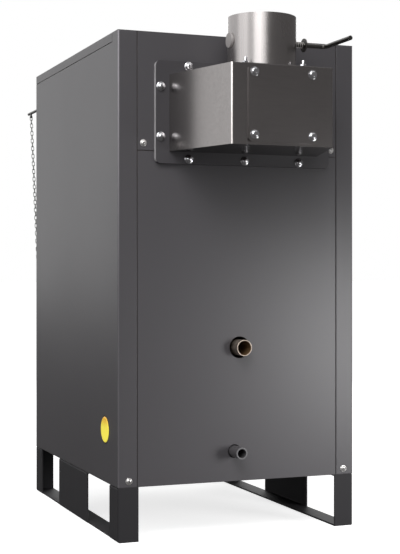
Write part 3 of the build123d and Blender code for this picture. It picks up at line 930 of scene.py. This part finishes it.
class BOILER_OT_chain(BoilerOperator, Operator):
    """Draught chain of round wire links between the lever and the flap"""

    bl_idname = "boiler.chain"
    bl_label = "Draught chain"

    def execute(self, context):
        sizes = self.sizes
        lever_low = Vector(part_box("regulator_lever")[0])
        side = middle("regulator_lever").x
        eye_back, eye_up, flap_eye_height = 0.0225, 0.0055, 0.235
        high = Vector((side, lever_low.y + eye_back, lever_low.z + eye_up))
        low = Vector((side, middle("regulator_chain").y * 2 - high.y, flap_eye_height))
        run = low - high
        slack, inner_width = 0.0003, 0.0038
        count = 2 * round((run.length / sizes.chain_pitch - 1) / 2) + 1
        pitch = (run.length - slack - sizes.chain_wire) / count
        inner = pitch + slack
        line = run.to_track_quat("X", "Z").to_matrix().to_4x4()
        places = []
        for number in range(count):
            along = (inner + sizes.chain_wire) / 2 + number * pitch
            turn = radians(90) if number % 2 == 0 else 0
            spot = Matrix.Translation(high + run.normalized() * along)
            places.append(spot @ line @ Matrix.Rotation(turn + radians(90), 4, "X"))
        links = repeated(loop_link(inner, inner_width, sizes.chain_wire), places)
        steel = satin_steel("chain_steel", CHAIN_STEEL, 0.4, metallic=0.85)
        chain = made(links, "draught_chain", "chain", steel)
        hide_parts("regulator_chain")
        return {"FINISHED"}


class BOILER_OT_dial(BoilerOperator, Operator):
    """Thermometer dial with its scale, numbers, pointer and glass"""

    bl_idname = "boiler.dial"
    bl_label = "Thermometer dial"

    def execute(self, context):
        low, high = (Vector(corner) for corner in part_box("thermometer"))
        card_inset = 0.0028
        centre = Vector(((low.x + high.x) / 2, low.y + card_inset, (low.z + high.z) / 2))
        self.look = facing(centre, FORWARD)
        self.card = worn_plastic("dial_card", DIAL_CARD, 0.5)
        self.ink = worn_plastic("dial_ink", DIAL_INK, 0.5)
        self.make_face()
        self.make_scale()
        self.make_numbers(context)
        self.make_pointer()
        self.make_glass()
        return {"FINISHED"}

    def place(self, mesh, name, material):
        """Stands a mesh made along +Z on the dial."""
        bmesh.ops.transform(mesh, matrix=self.look, verts=mesh.verts)
        made(mesh, name, "boiler", material)

    def angle(self, share):
        """Direction of a share of the scale, which runs over 270 degrees from the lower left."""
        return radians(225 - 270 * share)

    def spot(self, share, reach):
        """Matrix just above the card, at a share of the scale and a reach from the centre."""
        angle = self.angle(share)
        return Matrix.Translation((reach * cos(angle), reach * sin(angle), 0.0002))

    def make_face(self):
        """Round card."""
        radius, thickness = 0.0268, 0.0004
        face = bmesh.new()
        turned(face, [(radius, -thickness), (radius, 0), (0, 0)], steps=48)
        self.place(face, "dial_face", self.card)

    def make_scale(self):
        """Ticks whose outer ends lie on one circle, every fourth one long."""
        ticks, outer_end = 25, 0.0245
        marks = bmesh.new()
        for number in range(ticks):
            length = 0.0045 if number % 4 == 0 else 0.0025
            share = number / (ticks - 1)
            spot = self.spot(share, outer_end - length / 2) @ Matrix.Rotation(self.angle(share), 4, "Z")
            shape = Matrix.Diagonal((length, 0.0006, 0.0003, 1))
            bmesh.ops.create_cube(marks, size=1, matrix=spot @ shape)
        self.place(marks, "dial_scale", self.ink)

    def make_numbers(self, context):
        """Degrees from 0 to 120, as flat letters turned into one mesh."""
        steps, degrees, reach = 6, 20, 0.0162
        numbers = bmesh.new()
        for step in range(steps + 1):
            letters = bpy.data.curves.new("number", "FONT")
            letters.body = str(step * degrees)
            letters.size = 0.0058
            letters.align_x = "CENTER"
            letters.align_y = "CENTER"
            letters.extrude = 0.0001
            holder = bpy.data.objects.new("number", letters)
            context.collection.objects.link(holder)
            flat = bpy.data.meshes.new_from_object(holder)
            count = len(numbers.verts)
            numbers.from_mesh(flat)
            numbers.verts.ensure_lookup_table()
            spot = self.spot(step / steps, reach)
            bmesh.ops.transform(numbers, matrix=spot, verts=numbers.verts[count:])
            bpy.data.objects.remove(holder)
            bpy.data.meshes.remove(flat)
            bpy.data.curves.remove(letters)
        self.place(numbers, "dial_numbers", self.ink)

    def make_pointer(self):
        """Tapered red hand on a round hub, resting near room temperature."""
        room_temperature = 0.17
        tail, tip = -0.006, 0.02
        tail_width, tip_width = 0.0011, 0.0003
        height, thickness = 0.0007, 0.0003
        hub = [(0.0026, 0.0003), (0.0026, 0.0012), (0.0018, 0.0016), (0, 0.0016)]
        hand = bmesh.new()
        shape = Matrix.Translation((0, 0, height)) @ Matrix.Rotation(self.angle(room_temperature), 4, "Z")
        outline = [(tail, -tail_width), (tip, -tip_width), (tip, tip_width), (tail, tail_width)]
        blade = hand.faces.new([hand.verts.new(shape @ Vector((x, y, 0))) for x, y in outline])
        bmesh.ops.solidify(hand, geom=[blade], thickness=thickness)
        turned(hand, hub)
        red = worn_plastic("pointer_red", POINTER_RED, 0.4)
        self.place(hand, "dial_pointer", red)

    def make_glass(self):
        """Slightly domed clear pane."""
        outside = [(0.027, 0.0016), (0.0267, 0.002), (0.014, 0.0024), (0, 0.0025)]
        inside = [(0, 0.0019), (0.0267, 0.0016)]
        pane = bmesh.new()
        turned(pane, outside + inside, 48)
        clear = Finish("dial_glass")
        haze = clear.noise(40.0)
        glass = clear.close(
            Base_Color=clear.blend(haze, (0.97, 0.98, 0.98), (1, 1, 1)),
            Roughness=varied(0.035, (haze, 0.03)),
            Transmission_Weight=1.0,
            IOR=1.2,
        )
        self.place(pane, "dial_glass", glass)


class BOILER_OT_pipe_thread(BoilerOperator, Operator):
    """Thread on the open end of the supply pipe"""

    bl_idname = "boiler.pipe_thread"
    bl_label = "Pipe thread"

    def execute(self, context):
        low, high = (Vector(corner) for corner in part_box("supply_pipe"))
        radius = (high.x - low.x) / 2
        pitch, turns = 0.0023, 8
        rise, sunk, half_width, end_gap = 0.0005, 0.0003, 0.0009, 0.001
        section = [(-sunk, -half_width), (rise, 0), (-sunk, half_width)]
        thread = bmesh.new()
        coil(thread, section, radius, pitch, turns, steps=36)
        start = middle("supply_pipe").xy.to_3d() + UP * (high.z - end_gap - pitch * (turns + 0.5))
        bmesh.ops.translate(thread, verts=thread.verts, vec=start)
        made(thread, "supply_thread", "boiler", bpy.data.materials["supply_pipe_steel"])
        return {"FINISHED"}


class BOILER_OT_door_fittings(BoilerOperator, Operator):
    """Bolts in the middle of the door handles and the domed ends of the hinge pins"""

    bl_idname = "boiler.door_fittings"
    bl_label = "Door fittings"

    def execute(self, context):
        zinc = bpy.data.materials["zinc"]
        bolt_in, bolt_back = 0.015, 0.026
        knuckle_length, knuckle_radius, pin_radius = 0.042, 0.007, 0.0042
        bolts, pins = [], []
        for door in ("loading_door", "ash_door"):
            low, high = (Vector(corner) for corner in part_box(door + "_handle"))
            face = Vector((high.x - bolt_in, high.y - bolt_back, (low.z + high.z) / 2))
            bolts.append(facing(face, FORWARD, 0.4))
            low, high = (Vector(corner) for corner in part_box(door + "_hinges"))
            for start in (low.z, high.z - knuckle_length):
                foot = Vector((low.x + knuckle_radius, low.y + knuckle_radius, start))
                pins.append(facing(foot, -UP))
                pins.append(facing(foot + UP * knuckle_length, UP))
        made(repeated(hex_bolt(self.sizes.bolt_size), bolts), "handle_bolts", "boiler", zinc)
        made(repeated(pan_screw(pin_radius), pins), "hinge_pin_ends", "boiler", zinc)
        return {"FINISHED"}


OPERATORS = (
    BOILER_OT_stage,
    BOILER_OT_casing,
    BOILER_OT_flue,
    BOILER_OT_water_pipes,
    BOILER_OT_controls,
    BOILER_OT_casing_screws,
    BOILER_OT_flue_bolts,
    BOILER_OT_collar_studs,
    BOILER_OT_damper_spring,
    BOILER_OT_chain,
    BOILER_OT_dial,
    BOILER_OT_pipe_thread,
    BOILER_OT_door_fittings,
)


class BOILER_PT_pieces(Panel):
    """Lists the boiler's pieces and sizes"""

    bl_label = "Boiler"
    bl_idname = "BOILER_PT_pieces"
    bl_space_type = "VIEW_3D"
    bl_region_type = "UI"
    bl_category = "Boiler"

    def draw(self, context):
        for name in BoilerSettings.__annotations__:
            self.layout.prop(context.scene.boiler_settings, name)
        for operator in OPERATORS:
            self.layout.operator(operator.bl_idname)


CLASSES = (BoilerSettings, *OPERATORS, BOILER_PT_pieces)


def register():
    """Adds the classes and the settings."""
    for item in CLASSES:
        bpy.utils.register_class(item)
    bpy.types.Scene.boiler_settings = PointerProperty(type=BoilerSettings)


def unregister():
    """Takes the classes and the settings away."""
    del bpy.types.Scene.boiler_settings
    for item in reversed(CLASSES):
        bpy.utils.unregister_class(item)


def main():
    """Makes every piece."""
    register()
    for operator in OPERATORS:
        group, name = operator.bl_idname.split(".")
        getattr(getattr(bpy.ops, group), name)()


if __name__ == "__main__":
    main()
